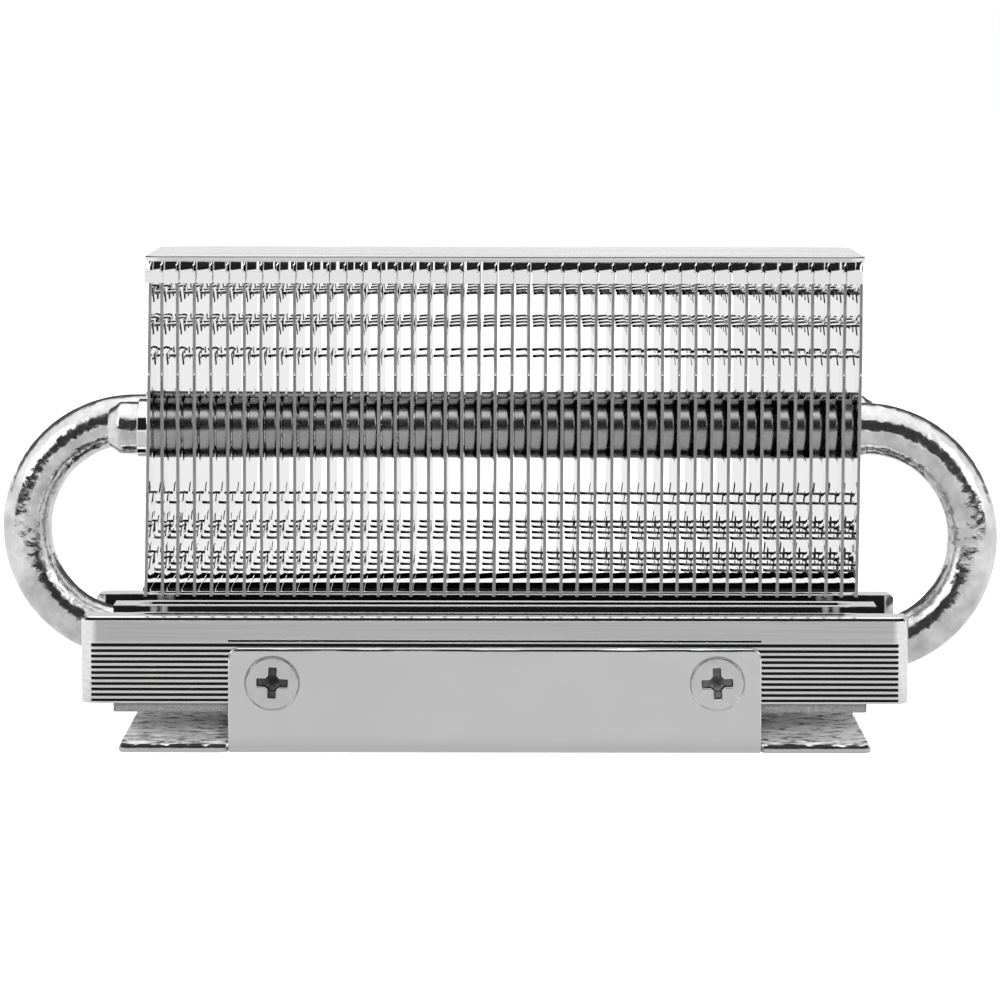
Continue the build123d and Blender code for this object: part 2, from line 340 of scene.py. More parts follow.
def fin_faces(reach, has_tabs):
    """A whole stamped fin with its inner skin at x 0, as one welded set of faces in x, y and z, with
    their finishes. The first fin's tabs are trimmed off."""
    across, up = fin_lines()
    middle_y = (across[:-1] + across[1:]) / 2
    middle_z = (up[:-1] + up[1:]) / 2
    state = np.zeros((len(middle_y), len(middle_z)), int)
    joined = np.zeros((len(middle_y), len(up)), bool)
    patches = []
    for side, hinge, middles, width in TAB_ROWS:
        rows = abs(middle_z - (hinge - side * WINDOW_HEIGHT / 2)) < WINDOW_HEIGHT / 2
        for middle in [m * s for m in middles for s in (-1, 1)]:
            columns = abs(middle_y - middle) < width / 2
            state[np.ix_(columns, rows)] = 1
            if has_tabs:
                joined[columns, np.argmin(abs(up - hinge))] = True
                shapes = tab(middle, -side * hinge, width, TAB_DROOP if side > 0 else 0.01)
                # A tab's cut faces take the lanced finish, painted dark as shade
                for faces, finish in zip(shapes, (SKIN, LANCED)):
                    patches.append((faces if side < 0 else mirrored(faces, 1), finish))
    in_block = abs(abs(middle_y) - PIPE_Y) < COLLAR_BLOCK
    state[np.ix_(in_block, abs(middle_z - UPPER_LEG_Z) < COLLAR_BLOCK)] = 2
    state[np.ix_(abs(middle_y) < FOOT_HALF, middle_z < FIN_BOTTOM + FIN_SHEET)] = 3
    state[np.ix_(abs(middle_y) > FIN_HALF - FIN_SHEET, middle_z > FLAP_LOW)] = 4
    skins, walls = sheet(across, up, state, joined, FIN_SHEET)
    edge = sheared_edge(across, up, state)
    in_nick = (abs(edge[..., 1].mean(1) - NICK_HEIGHTS[2]) < 0.15) & (abs(edge[..., 0].mean(1)) > 11.3)
    # The windows' walls take the lanced finish, painted dark as shade
    patches += [(skins, SKIN), (walls, LANCED), (edge[~in_nick], SHEARED), (edge[in_nick], SKIN)]
    for side in (-1, 1):
        a = across[abs(across - side * PIPE_Y) < COLLAR_BLOCK + 0.01]
        b = up[abs(up - UPPER_LEG_Z) < COLLAR_BLOCK + 0.01]
        centre = np.array([side * PIPE_Y, UPPER_LEG_Z])
        collar = round_hole(a, b, centre, collar_profile(), 0.0, FIN_SHEET)
        y, z, n = collar.mean(1).T
        # The blunt ends of the tabbed fins' collars get painted shade
        at_end = n < -1.08
        flat = np.hypot(y - centre[0], z - centre[1]) > COLLAR_OUTSIDE + COLLAR_FILLET + 0.02
        drawn, end = (DRAWN, PAINTED_SHADE) if has_tabs else (SKIN, SKIN)
        patches += [(collar[flat], SKIN), (collar[~flat & ~at_end], drawn), (collar[at_end], end)]

    def front_place(line, at):
        return np.stack([line[:, 1] - FIN_HALF, np.full(len(line), at), line[:, 0]], -1)

    def foot_place(line, at):
        return np.stack([np.full(len(line), at), FIN_BOTTOM + line[:, 1], line[:, 0]], -1)

    heights = (FLAP_LOW, FLAP_HIGH - 0.23, FLAP_HIGH - 0.2, FLAP_HIGH)
    skin, ends = fold(reach, [(at, 0, 0) for at in heights], front_place)
    front = np.concatenate([skin.reshape(-1, 4, 3), ends, bare_arc(FLAP_HIGH, FIN_TOP, front_place)])
    patches += [(flipped(front), SKIN), (mirrored(flipped(front), 0), SKIN)]
    corner = min(0.4, 0.7 * reach)
    turned = ((0, 1), (0.134, 0.5), (0.5, 0.134), (1, 0))
    rounded = [(FOOT_HALF - corner * d, corner * c, 0) for d, c in turned] + [(FOOT_BRIGHT, 0, 0)]
    stations = [(-at, cut, worn) for at, cut, worn in rounded] + rounded[::-1]
    skin, ends = fold(reach, stations, foot_place)
    segment = np.arange(len(skin))[:, None] * np.ones(skin.shape[1])
    # The foot's fold outside its bright middle, and its ends, get painted shade
    dull = (abs(skin[..., 0].mean(-1)) > FOOT_BRIGHT) & (segment > 2)
    patches += [(skin[dull], PAINTED_SHADE), (skin[~dull], SKIN), (ends, PAINTED_SHADE)]
    across_up_through = [2, 0, 1]
    return weld([(faces[..., across_up_through], finish) for faces, finish in patches])


def sheared_edge(across, up, state):
    """The fin's outer edge, cut with slightly rounded corners: a section with its corners set in a
    little, carried along each run of sheet on the outline."""
    rounding = 0.05
    strips = []
    section = ((0.0, 0.0), (rounding, 1.0), (FIN_SHEET - rounding, 1.0), (FIN_SHEET, 0.0))
    for axis, fixed, free in ((0, across, up), (1, up, across)):
        for index, sign in ((0, -1), (-1, 1)):
            kept = np.nonzero(np.take(state, index, axis) == 0)[0]
            for run in np.split(kept, np.nonzero(np.diff(kept) > 1)[0] + 1):
                along = free[run[0] : run[-1] + 2]
                line = np.stack([np.full(len(along), fixed[index]), along], -1)[:, :: 1 - 2 * axis]
                out = np.eye(2)[axis] * sign * rounding
                rows = [np.c_[line + out * reach, np.full(len(line), n)] for n, reach in section]
                faces = grid_faces(np.stack(rows, 1))
                strips.append(flipped(faces) if (sign < 0) == (axis == 0) else faces)
    return np.concatenate(strips)


def fin_offset(number, height):
    """How far one fin stands along X from its node, at a height over the upper legs: its spread, its
    slope to the right, how far it is out of true, and the bow of its sheet."""
    draw = np.random.default_rng(400 + number)
    tilt, bow, phase = draw.normal(0, 0.0012), draw.normal(0, 0.02), draw.uniform(0, 6)
    slope = math.tan({1: FIRST_LEAN, FIN_COUNT: LAST_LEAN}.get(number, LEAN))
    away_from_pipes = step(3.0, 9.0, abs(height))
    x = np.interp(number, SPREAD_NUMBERS, SPREAD) + slope * height + away_from_pipes * tilt * height
    return x + bow * away_from_pipes * np.sin(height / 5.1 + phase)


def fin_shape(points, number):
    """Where a fin stands: it leans to the right, its foot reaches the fin on its left and sags towards
    the rear, its front flaps face slightly down, its sheet is pulled along at each row of tabs, and its
    front edge has a nick at each of four heights. The second fin's tabs and folds are pressed short."""
    x, y, z = points.T.copy()
    flap_in = np.random.default_rng(700 + number).uniform(0.05, 0.085)
    beside = step(0.0, -0.25, x)
    at_flap = step(44.1, FLAP_LOW, z) * step(45.6, FLAP_HIGH, z) * (y < 0.2 - FIN_HALF)
    y = y + at_flap * flap_in * (FLAP_HIGH - z) / (FLAP_HIGH - FLAP_LOW)
    on_flap = (y < 0.25 - FIN_HALF) * step(FLAP_HIGH - 0.6, FLAP_HIGH, z) * (z < FLAP_HIGH + 0.01)
    z = z + on_flap * 0.42 * step(0.0, -0.15, x) * (0.9 + x / FOLD_REACH)
    for side, hinge, middles, width in TAB_ROWS:
        past = side * (hinge - z)
        pulled = step(1.2, 0.0, past) * step(-0.35, 0.0, past) * step(9.9, 9.1, abs(y))
        x = x - TAB_PULL * pulled * (abs(y) > (2.0 if len(middles) > 1 else 3.0))
    at_foot = (z < FIN_BOTTOM + FIN_SHEET + 0.01) * (x < 0)
    if number > 1:
        low = FIN_BOTTOM - UPPER_LEG_Z
        gap = FIN_GAP + fin_offset(number, low) - fin_offset(number - 1, low)
        x = x * np.where(at_foot, (gap - 0.004) / FOLD_REACH, 0.8 if number == 2 else 1.0) ** (x < 0)
    z = z + at_foot * beside * (-0.01 - 0.08 * step(-3.0, 3.6, y))
    x = x + fin_offset(number, z - UPPER_LEG_Z) - 0.04 * step(16.2, 14.85, z)
    for nick in NICK_HEIGHTS:
        depth = 0.09 * np.exp(-(((z - nick) / 0.09) ** 2)) * step(11.3, 11.38, abs(y))
        y = y - np.sign(y) * depth
    return np.stack([x, y, z], -1)


def fins(materials):
    """All fins, each a piece of its own that stands for one CAD node."""
    first, others = fin_faces(END_REACH, False), fin_faces(FOLD_REACH, True)
    for number in range(1, FIN_COUNT + 1):
        node = f"fin_{number:02d}"
        low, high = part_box(node)
        points, faces, finish = first if number == 1 else others
        placed = fin_shape(points, number) + (high.x / MM - FIN_SHEET, 0, 0)
        make_piece(f"stamped_{node}", (placed, faces, finish), materials, "fin", 40, node)


# Heat pipes


def pipe_line():
    """Stations along a pipe that bends at the right: place, heading in the XZ plane, the share of the
    bend that is behind, and radius."""
    lower = [(LOWER_END, 0.0), (LOWER_END, TIP_RADIUS), (LOWER_END + TIP_LENGTH, PIPE_RADIUS)]
    lower += [(x, PIPE_RADIUS) for x in np.linspace(LOWER_END + 2, BEND_X - 0.5, 24)]
    stations = [(x, LOWER_LEG_Z, 0.0, 0.0, radius) for x, radius in lower]
    for share in np.linspace(0, 1, 150):
        angle = share * math.pi
        x = BEND_X + BEND_RADIUS * math.sin(angle)
        stations.append((x, LOWER_LEG_Z + BEND_RADIUS * (1 - math.cos(angle)), angle, share, PIPE_RADIUS))
    tip = ((TIP_LENGTH + 0.45, 2.5), (TIP_LENGTH + 0.1, 2.49), (TIP_LENGTH - 0.12, 2.43))
    tip += ((TIP_LENGTH * 0.72, 2.27), (TIP_LENGTH * 0.45, 2.07), (TIP_LENGTH * 0.22, 1.9))
    tip += ((0.1, 1.8), (0.03, 1.7), (0.0, 1.5), (0.02, 0.9), (0.05, 0.0))
    upper = [(x, PIPE_RADIUS) for x in np.linspace(BEND_X - 0.5, UPPER_END + TIP_LENGTH + 0.9, 60)]
    upper += [(UPPER_END + back, radius) for back, radius in tip]
    return np.array(stations + [(x, UPPER_LEG_Z, math.pi, 1.0, radius) for x, radius in upper])


def heat_pipe(seed):
    """Faces of a pipe: a circle carried along its line. In the bend it is squeezed a little across the
    bend's plane, with its outermost line kept, and its skin has shallow dents and creases, strongest on
    the inside and the flanks."""
    x, z, heading, share, radius = pipe_line().T[:, :, None]
    around = np.linspace(0, 2 * math.pi, 81)[None, :]
    in_bend = np.sin(share * math.pi) ** 0.5
    squeeze = 0.05 * in_bend
    outward = np.cos(around) * radius * (1 - squeeze) + squeeze * PIPE_RADIUS
    sideways = np.sin(around) * radius * (1 + 0.3 * squeeze)
    along = share * math.pi * BEND_RADIUS
    inner = 0.35 + 0.65 * step(0.75, -0.6, np.cos(around))
    dents = ripple(along, 2.5 * np.sin(around), seed, 14, 1.6, 5.0) * 0.6
    creases = ripple(along * 0.5, 2.5 * np.cos(around) + 0.6 * along, seed + 1, 16, 0.55, 1.5) * 0.4
    push = 0.012 * in_bend * inner * (dents + creases) - 0.015 * in_bend
    outward = outward + push * np.cos(around)
    sideways = sideways + push * np.sin(around)
    px = x + outward * np.sin(heading)
    pz = z - outward * np.cos(heading)
    py = np.broadcast_to(sideways - PIPE_Y, px.shape)
    return flipped(grid_faces(np.stack([px, py, pz], -1)))


def heat_pipes(materials):
    """Both pipes: the rear one is the front one turned half a turn about the upright axis."""
    for name, faces in (("heat_pipe_front", heat_pipe(31)), ("heat_pipe_rear", heat_pipe(57) * (-1, -1, 1))):
        make_piece(f"nickel_{name}", weld([(faces, 0)]), materials, "pipe", 60, name)


# Flat sheets with rounded corners


def rounded_rows(length, width, corner, rows):
    """Distances across a rounded rectangle, with its half length at each: straight between the corners,
    and the corner's quarter circle beyond."""
    turn = quarter(6)
    side = width / 2 - corner
    straight = np.linspace(-side, side, rows)
    y = np.r_[-(side + corner * np.sin(turn[:0:-1])), straight, side + corner * np.sin(turn[1:])]
    over = np.clip((abs(y) - side) / corner, 0, 1)
    return y, length / 2 - corner + corner * np.sqrt(1 - over**2)


def rounded_sheet(box, corner, edge, columns, rows, height=None, sway=None, draft=0.0):
    """A flat sheet: two skins over a rounded rectangle, set in by the edge's rounding, and a rim of
    three strips round them, the middle one set in by the draft at its foot. Height lifts the upper
    side by a function of x and y, and sway moves the front and rear edges by one of x."""
    (x0, y0, z0), (x1, y1, z1) = box
    centre = np.array([(x0 + x1) / 2, (y0 + y1) / 2])
    share = np.linspace(-1, 1, columns)

    def layer(inset, z, lifted):
        y, half = rounded_rows(x1 - x0 - 2 * inset, y1 - y0 - 2 * inset, max(corner - inset, 0.02), rows)
        px = share[None, :] * half[:, None] + centre[0]
        py = np.broadcast_to(y[:, None], px.shape) + centre[1]
        if sway:
            py = py + sway(px) * (py - centre[1]) / ((y1 - y0) / 2)
        pz = np.full(px.shape, z) + (height(px, py) if lifted and height else 0.0)
        return np.stack([px, py, pz], -1)

    def rim(grid):
        return np.concatenate([grid[0, :-1], grid[:-1, -1], grid[-1, :0:-1], grid[::-1, 0]])

    top, bottom = layer(edge, z1, True), layer(edge, z0, False)
    loops = [rim(top), rim(layer(0, z1 - edge, True)), rim(layer(draft, z0 + edge, False)), rim(bottom)]
    return np.concatenate([flipped(grid_faces(top)), grid_faces(bottom), grid_faces(np.stack(loops))])


def node_box(node):
    """A CAD node's lowest and highest corners in millimetres."""
    low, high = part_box(node)
    return np.array(low) / MM, np.array(high) / MM


def top_cover(materials):
    """The cover sheet: nearly flat, its top a little uneven, its edges wavy from shearing."""
    def lift(x, y):
        return np.minimum(-0.03 + 0.012 * ripple(x * 0.2, y * 0.4, 71, 8, 1.5, 4.0), 0.0)

    def wavy(x):
        return np.minimum(-0.03 + 0.012 * ripple(x, 0.0, 72, 10, 3.0, 12.0), 0.0)

    faces = rounded_sheet(node_box("top_cover"), 1.5, 0.08, 120, 16, lift, wavy, 0.03)
    across = np.cross(faces[:, 2] - faces[:, 0], faces[:, 3] - faces[:, 1])
    slope = across[:, 2] / np.linalg.norm(across, axis=1)
    cut = (slope < 0.35) & (slope > -0.9)
    # Faces of the top edge's rounding are painted dark, for the dark reflection along that edge
    painted_dark_rounding = (slope < 0.95) & (slope >= 0.35)
    shape = weld([(faces[~cut & ~painted_dark_rounding], 0), (faces[cut], 1), (faces[painted_dark_rounding], 2)])
    make_piece("top_cover_sheet", shape, materials, "cover", 50, "top_cover")


def thermal_pads(dark, light):
    """The two silicone pads. The upper one is smooth with soft corners. The lower one widens outside
    the clip's flanges, its face is drawn into sharp low wrinkles, and its long edges are scalloped."""

    def swell(x, y):
        return -0.02 + 0.012 * ripple(x * 0.3, y * 0.3, 81, 6, 1.5, 4.0)

    def waver(x):
        return -0.02 + 0.02 * ripple(x, 0, 82, 8, 4, 14)

    faces = rounded_sheet(node_box("thermal_pad_upper"), 0.35, 0.06, 100, 16, swell, waver)
    shape = weld([(faces, 0)])
    pad = make_piece("upper_silicone_pad", shape, [dark], "pad_dark", 60, "thermal_pad_upper")

    low, high = node_box("thermal_pad_lower")
    low[1], high[1] = -PAD_HALF, PAD_HALF

    def flare(x):
        return PAD_FLARE * step(25.15, 25.5, abs(x))

    def wrinkles(x, y):
        crests = 0.075 * (1 - 1.6 * np.abs(ripple(x * 0.5, y * 0.85, 91, 26, 0.9, 2.6)) ** 0.7)
        reach = PAD_HALF + flare(x)
        at_edge = step(reach - 1.3, reach - 0.1, abs(y))
        scallops = -0.08 - 0.08 * np.abs(np.sin(x * 3.3 + 0.9 * np.sin(x * 0.61)))
        return np.clip(-0.09 + crests * (1 - at_edge) + scallops * at_edge, -0.17, 0.0)

    faces = rounded_sheet((low, high), 0.5, 0.08, 420, 50, wrinkles, flare)
    shape = weld([(faces, 0)])
    pad = make_piece("lower_silicone_pad", shape, [light], "pad_light", 60, "thermal_pad_lower")


# Clip and screws


CLIP_SHEET = 0.5
CLIP_BEND = 0.8
CLIP_HALF = 11.8
CLIP_TOP = 10.0
PLATE_HALF = 35.5
PLATE_SIDE = 11.3
FLANGE_HALF = 25.1
FLANGE_CORNER = 1.0
SCREW_BLOCK = 2.75
SCREW_X = 20.95
SCREW_Z = 6.67
BEND_START = CLIP_HALF - CLIP_BEND
BEND_LENGTH = CLIP_BEND * math.pi / 2


def folded_place(faces):
    """Bends the flat blank up at each side: distance across the blank runs flat to the bend, round a
    quarter circle, and straight up the flange. Depth goes from the outside inwards."""
    x, s, n = np.moveaxis(faces, -1, 0)
    side, across = np.sign(s), abs(s)
    turn = np.clip((across - BEND_START) / CLIP_BEND, 0, math.pi / 2)
    up = np.maximum(across - BEND_START - BEND_LENGTH, 0)
    y = np.minimum(across, BEND_START) + CLIP_BEND * np.sin(turn) - n * np.sin(turn)
    z = CLIP_BEND * (1 - np.cos(turn)) + up + n * np.cos(turn)
    top_corner = np.clip((z - (CLIP_TOP - FLANGE_CORNER)) / FLANGE_CORNER, 0, 1)
    outermost = np.clip((abs(x) - (FLANGE_HALF - FLANGE_CORNER)) / FLANGE_CORNER, 0, 1)
    x = x - np.sign(x) * outermost * (1 - np.sqrt(1 - top_corner**2))
    waviness = 1 + 0.5 * ripple(x, 0.0, 96, 8, 2.0, 9.0)
    rolled = np.clip(0.9 * np.clip(z - 9.66, 0, 1) ** 2 * waviness, 0.0, 0.3) * (n < 0.25)
    uneven = 0.003 * ripple(x * 0.25, z * 0.4, 95, 8, 2.5, 7.0) * (turn > 1.5) * (z < 9.5) - 0.01
    return np.stack([x, side * (y - rolled + np.minimum(uneven, 0.0)), z], -1)


def clip(materials):
    """The folded clip: one blank with a countersunk hole for each screw, bent up at both sides, and the
    two ends of its flat plate."""
    hole_lines = np.linspace(-SCREW_BLOCK, SCREW_BLOCK, 9)
    corner = FLANGE_HALF - FLANGE_CORNER
    a = np.r_[-FLANGE_HALF, -corner, -SCREW_X + hole_lines, np.linspace(-18, 18, 37)]
    a = np.round(np.r_[a, SCREW_X + hole_lines, corner, FLANGE_HALF], 4)
    flange_z = np.r_[1.6, SCREW_Z + hole_lines, 9.64, 9.66, 9.72, 9.78, 9.84, CLIP_TOP]
    up_flange = BEND_START + BEND_LENGTH + flange_z - CLIP_BEND
    half = np.r_[0, 7, BEND_START + CLIP_BEND * quarter(7), up_flange]
    b = np.unique(np.round(np.r_[-half, half], 4))
    screw_s = BEND_START + BEND_LENGTH + SCREW_Z - CLIP_BEND
    middle_a, middle_b = (a[:-1] + a[1:]) / 2, (b[:-1] + b[1:]) / 2
    state = np.zeros((len(middle_a), len(middle_b)), int)
    profile = [(2.62, 0.0), (2.57, 0.0), (2.54, 0.03), (1.34, 0.47), (1.32, CLIP_SHEET)]
    holes = []
    for centre in [np.array([end * SCREW_X, side * screw_s]) for end in (-1, 1) for side in (-1, 1)]:
        cells = [abs(middle - at) < SCREW_BLOCK for middle, at in zip((middle_a, middle_b), centre)]
        state[np.ix_(*cells)] = 2
        block = [lines[abs(lines - at) < SCREW_BLOCK + 0.01] for lines, at in zip((a, b), centre)]
        holes.append(round_hole(*block, centre, profile, 0.0, CLIP_SHEET))
    wide_a, wide_b = np.r_[a[0] - 1, a, a[-1] + 1], np.r_[b[0] - 1, b, b[-1] + 1]
    none = np.zeros((len(wide_a) - 1, len(wide_b)), bool)
    around = np.pad(state, 1, constant_values=1)
    blank = np.concatenate([*sheet(wide_a, wide_b, around, none, CLIP_SHEET), *holes])
    from_screw = np.hypot(abs(blank[..., 0].mean(1)) - SCREW_X, abs(blank[..., 1].mean(1)) - screw_s)
    # Faces in the screw holes take a darker finish, painted shade round the screw heads
    in_hole = from_screw < 2.6
    patches = [(folded_place(blank[~in_hole]), 0), (folded_place(blank[in_hole]), 2)]
    for low, high in ((-PLATE_HALF, -FLANGE_HALF), (FLANGE_HALF, PLATE_HALF)):
        box = (low, -PLATE_SIDE, 0.0), (high, PLATE_SIDE, CLIP_SHEET)
        patches.append((rounded_sheet(box, 0.9, 0.08, 24, 24), 0))
    piece = make_piece("folded_clip", weld(patches), materials, "clip", 40, "clip_bracket")
    bevel = piece.modifiers.new("rounded_edges", "BEVEL")
    bevel.width, bevel.segments, bevel.material = 0.1 * MM, 3, 1
    bevel.limit_method, bevel.angle_limit = "ANGLE", math.radians(60)
    bevel.use_clamp_overlap = False


def screw():
    """One countersunk screw, its head's face at depth 0, as its bright faces and those of its recess,
    which are painted dark as shade. The face is a fine square grid that falls into a cross with a
    pointed middle, joined to a turned profile."""
    lines = np.linspace(-1.68, 1.68, 73)
    u, v = np.meshgrid(lines, lines, indexing="ij")
    far, near = np.maximum(abs(u), abs(v)), np.minimum(abs(u), abs(v))
    cross = np.maximum(far - 1.42, near - 0.37)
    cross = np.minimum(cross, (abs(u) + abs(v)) / math.sqrt(2) - 0.72)
    cone = np.clip(1.0 - np.hypot(u, v) / 0.75, 0, 1)
    floor = 0.3 + 0.3 * np.clip(1.42 - far, 0, 0.6) / 0.6 + 0.45 * cone
    depth = -0.012 - 0.075 * step(0.07, -0.01, cross) - step(0.0, -0.04, cross) * floor
    face = grid_faces(np.stack([u, v, depth], -1))
    profile = [(2.34, -0.012), (2.38, -0.014), (2.44, -0.03), (2.48, -0.06), (2.49, -0.1), (1.27, -0.5)]
    profile += [(1.25, -0.6), (1.25, -3.9), (1.1, -4.0), (0.0, -4.0)]
    rest = round_hole(lines, lines, np.zeros(2), profile, -0.012, None)
    in_recess = face[..., 2].mean(1) < -0.1
    return np.concatenate([face[~in_recess], rest]), face[in_recess]


def clip_screws(materials):
    """The four screws as one piece, each at its own angle in its hole."""
    patches = []
    for finish, one in enumerate(screw()):
        for side, end, angle in ((-1, -1, -2.5), (-1, 1, 3.0), (1, -1, 17.0), (1, 1, -8.0)):
            angle = math.radians(angle)
            u = one[..., 0] * math.cos(angle) - one[..., 1] * math.sin(angle)
            v = one[..., 0] * math.sin(angle) + one[..., 1] * math.cos(angle)
            placed = np.stack([u, -one[..., 2], v], -1) + (0, -CLIP_HALF, 0)
            if side > 0:
                placed = placed * (-1, -1, 1)
            patches.append((placed + (end * SCREW_X, 0, SCREW_Z), finish))
    make_piece("cross_screws", weld(patches), materials, "screw", 40, "clip_screws")


# Materials: places and heights in them are metres on the object's own coordinates


def feed(tree, node, values):
    """Gives a node's inputs, by name or number, a value or the output that they follow."""
    for name, value in values.items():
        if isinstance(value, bpy.types.NodeSocket):
            tree.links.new(value, node.inputs[name])
        else:
            node.inputs[name].default_value = value


def add(tree, kind, *inputs, **values):
    """A node of a kind. Its first inputs are given in turn, and its settings and other inputs by name."""
    node = tree.nodes.new(kind)
    for name, value in values.items():
        if name in node.inputs:
            feed(tree, node, {name: value})
        else:
            setattr(node, name, value)
    feed(tree, node, dict(enumerate(inputs)))
    return node


def reckoned(tree, operation, first, *others):
    """One operation of arithmetic, carried on from value to value."""
    for other in others:
        first = add(tree, "ShaderNodeMath", first, other, operation=operation).outputs[0]
    return first


def product(tree, *values):
    """Values multiplied."""
    return reckoned(tree, "MULTIPLY", *values)


def ranged(tree, value, from_low, from_high, to_low=0.0, to_high=1.0, **settings):
    """A value moved from one range to another and kept inside it. It falls from 1 to 0 where the first
    range is given from its high end."""
    ends = (from_low, from_high, to_low, to_high)
    return add(tree, "ShaderNodeMapRange", value, *ends, **settings).outputs["Result"]


def between(tree, value, low, high, soft=0.00002):
    """1 where a value lies between two limits and 0 outside them, with a soft step at each."""
    rising = ranged(tree, value, low - soft, low + soft)
    return product(tree, rising, ranged(tree, value, high + soft, high - soft))


def coordinate(tree, axis, size=False):
    """One of the object's own coordinates, or its size without its sign."""
    place = add(tree, "ShaderNodeTexCoord").outputs["Object"]
    value = add(tree, "ShaderNodeSeparateXYZ", place).outputs[axis]
    return add(tree, "ShaderNodeMath", value, operation="ABSOLUTE").outputs[0] if size else value


def noise(tree, scale, detail, roughness=0.5):
    """Noise on the object's own coordinates, stretched by a scale per metre along each axis."""
    place = add(tree, "ShaderNodeTexCoord").outputs["Object"]
    vector = add(tree, "ShaderNodeMapping", place, Scale=scale).outputs["Vector"]
    grain = add(tree, "ShaderNodeTexNoise", vector, Scale=1.0, Detail=detail, Roughness=roughness)
    return grain.outputs["Fac"]


def shades(tree, value, stops):
    """A grey that goes straight from stop to stop, each a place from 0 to 1 and the tone there."""
    ramp = add(tree, "ShaderNodeValToRGB", value)
    elements = ramp.color_ramp.elements
    for _ in stops[2:]:
        elements.new(0.5)
    for element, (at, tone) in zip(elements, stops):
        element.position = at
        element.color = (tone, tone, tone, 1)
    return ramp.outputs["Color"]


def tinted(tree, value, dark, light):
    """A grey that goes from dark to light as the value goes from 0.3 to 0.7."""
    return shades(tree, value, ((0.3, dark), (0.7, light)))


def relief(tree, value, height, strength, **under):
    """Fine relief from a value, over the relief under it if there is one."""
    bump = add(tree, "ShaderNodeBump", Strength=strength, Distance=height, Height=value, **under)
    return bump.outputs["Normal"]


def shader(name, metallic, roughness):
    """A new material, its nodes and its main shader, with the shader's own metallic and roughness."""
    material = bpy.data.materials.new(name)
    material.use_nodes = True
    main = material.node_tree.nodes["Principled BSDF"]
    feed(material.node_tree, main, {"Metallic": metallic, "Roughness": roughness})
    return material, material.node_tree, main


def metal(name, dark, light, smooth, rough, grain, height):
    """Metal whose tone varies with broad wear, and whose roughness and fine relief follow a grain that
    is stretched along the way it was drawn, ground or brushed."""
    material, tree, main = shader(name, 1.0, (smooth + rough) / 2)
    lines = noise(tree, grain, 4, 0.6)
    feed(tree, main, {
        "Base Color": tinted(tree, noise(tree, (60, 60, 60), 3), dark, light),
        "Roughness": ranged(tree, lines, 0.3, 0.7, smooth, rough),
        "Normal": relief(tree, lines, height, 0.6),
    })
    return material


def matt(name, dark, light, smooth, rough, grain, height, sheen, mottling):
    """A dull finish, such as filled silicone: mottled, with a pressed grain in its sheen and relief."""
    material, tree, main = shader(name, 0.0, (smooth + rough) / 2)
    pressed = noise(tree, (grain,) * 3, 5, 0.6)
    feed(tree, main, {
        "Specular IOR Level": sheen,
        "Base Color": tinted(tree, noise(tree, (mottling,) * 3, 4), dark, light),
        "Roughness": ranged(tree, pressed, 0.3, 0.7, smooth, rough),
        "Normal": relief(tree, pressed, height, 0.7),
    })
    return material


def creased_silicone():
    """The lower pad's pale rubber: a noise drawn out along the pad gives creases where it is low and
    crests where it is high, in relief, and in tone painted shade makes the creases dark and the crests
    pale. The tone is painted darker towards the pad's long edges, and painted shade makes the foot of
    its rim black, to a height that varies along it."""
    material, tree, main = shader("pad_pale_silicone", 0.0, 0.6)
    folds = noise(tree, (520, 1100, 1100), 2, 0.55)
    fine = noise(tree, (2600, 2600, 2600), 2)
    level = add(tree, "ShaderNodeMix", data_type="FLOAT", Factor=0.22, A=folds, B=fine).outputs["Result"]
    uneven = ranged(tree, noise(tree, (950, 60, 60), 1), 0.3, 0.7, -0.00018, 0.00010)
    lifted = reckoned(tree, "ADD", coordinate(tree, 2), uneven)
    from_middle = coordinate(tree, 1, True)
    inside = ranged(tree, from_middle, 0.01140, 0.01130)
    # 1 away from the foot of the rim, which is painted black as shade
    clear_of_rim_shade = reckoned(tree, "MAXIMUM", ranged(tree, lifted, 0.00076, 0.00079), inside)
    # Painted shade: the tone is dark in the creases and darker towards the long edges
    height = ranged(tree, level, 0.38, 0.60, 0.2, 1.0)
    painted_shade_tone = product(tree, height, ranged(tree, from_middle, 0.006, 0.011, 1.0, 0.55), clear_of_rim_shade)
    stops = ((0.0, 0.01), (0.15, 0.05), (0.22, 0.18), (0.45, 0.72), (0.70, 0.92), (1.0, 0.95))
    feed(tree, main, {
        "Specular IOR Level": 0.3,
        "Base Color": shades(tree, painted_shade_tone, stops),
        "Normal": relief(tree, level, 0.00025, 0.8),
    })
    return material


def hammered_nickel():
    """The pipes' plating: bright, with small sharp-edged dents and finer specks between them."""
    material, tree, main = shader("pipe_nickel", 0.985, 0.14)
    specks = noise(tree, (2600, 2600, 2600), 3)
    place = add(tree, "ShaderNodeTexCoord").outputs["Object"]
    dents = add(tree, "ShaderNodeTexVoronoi", place, Scale=900.0).outputs["Distance"]
    feed(tree, main, {
        "Base Color": tinted(tree, noise(tree, (500, 500, 500), 3), 0.56, 0.84),
        "Roughness": ranged(tree, specks, 0.35, 0.65, 0.05, 0.20),
        "Normal": relief(tree, specks, 0.00003, 0.8, Normal=relief(tree, dents, 0.00008, 0.65)),
    })
    return material


def groove_rows(tree, z, aside):
    """1 in the rows of fine grooves: the height above the first, in groove pitches, keeps its fraction,
    and the low part of each fraction is a groove. The cut over the flange is a row of its own."""
    steps = ranged(tree, z, 0.00485, 0.00485 + 11 * 0.00052, 0.0, 11.0)
    fraction = add(tree, "ShaderNodeMath", steps, operation="FRACT").outputs[0]
    row = product(tree, ranged(tree, fraction, 0.56, 0.54), between(tree, z, 0.00486, 0.01036))
    rows = product(tree, row, ranged(tree, aside, 0.03802, 0.038))
    over_flange = between(tree, z, 0.0105, 0.01072)
    over_flange = product(tree, over_flange, ranged(tree, aside, 0.02512, 0.0251))
    return reckoned(tree, "MAXIMUM", rows, over_flange)


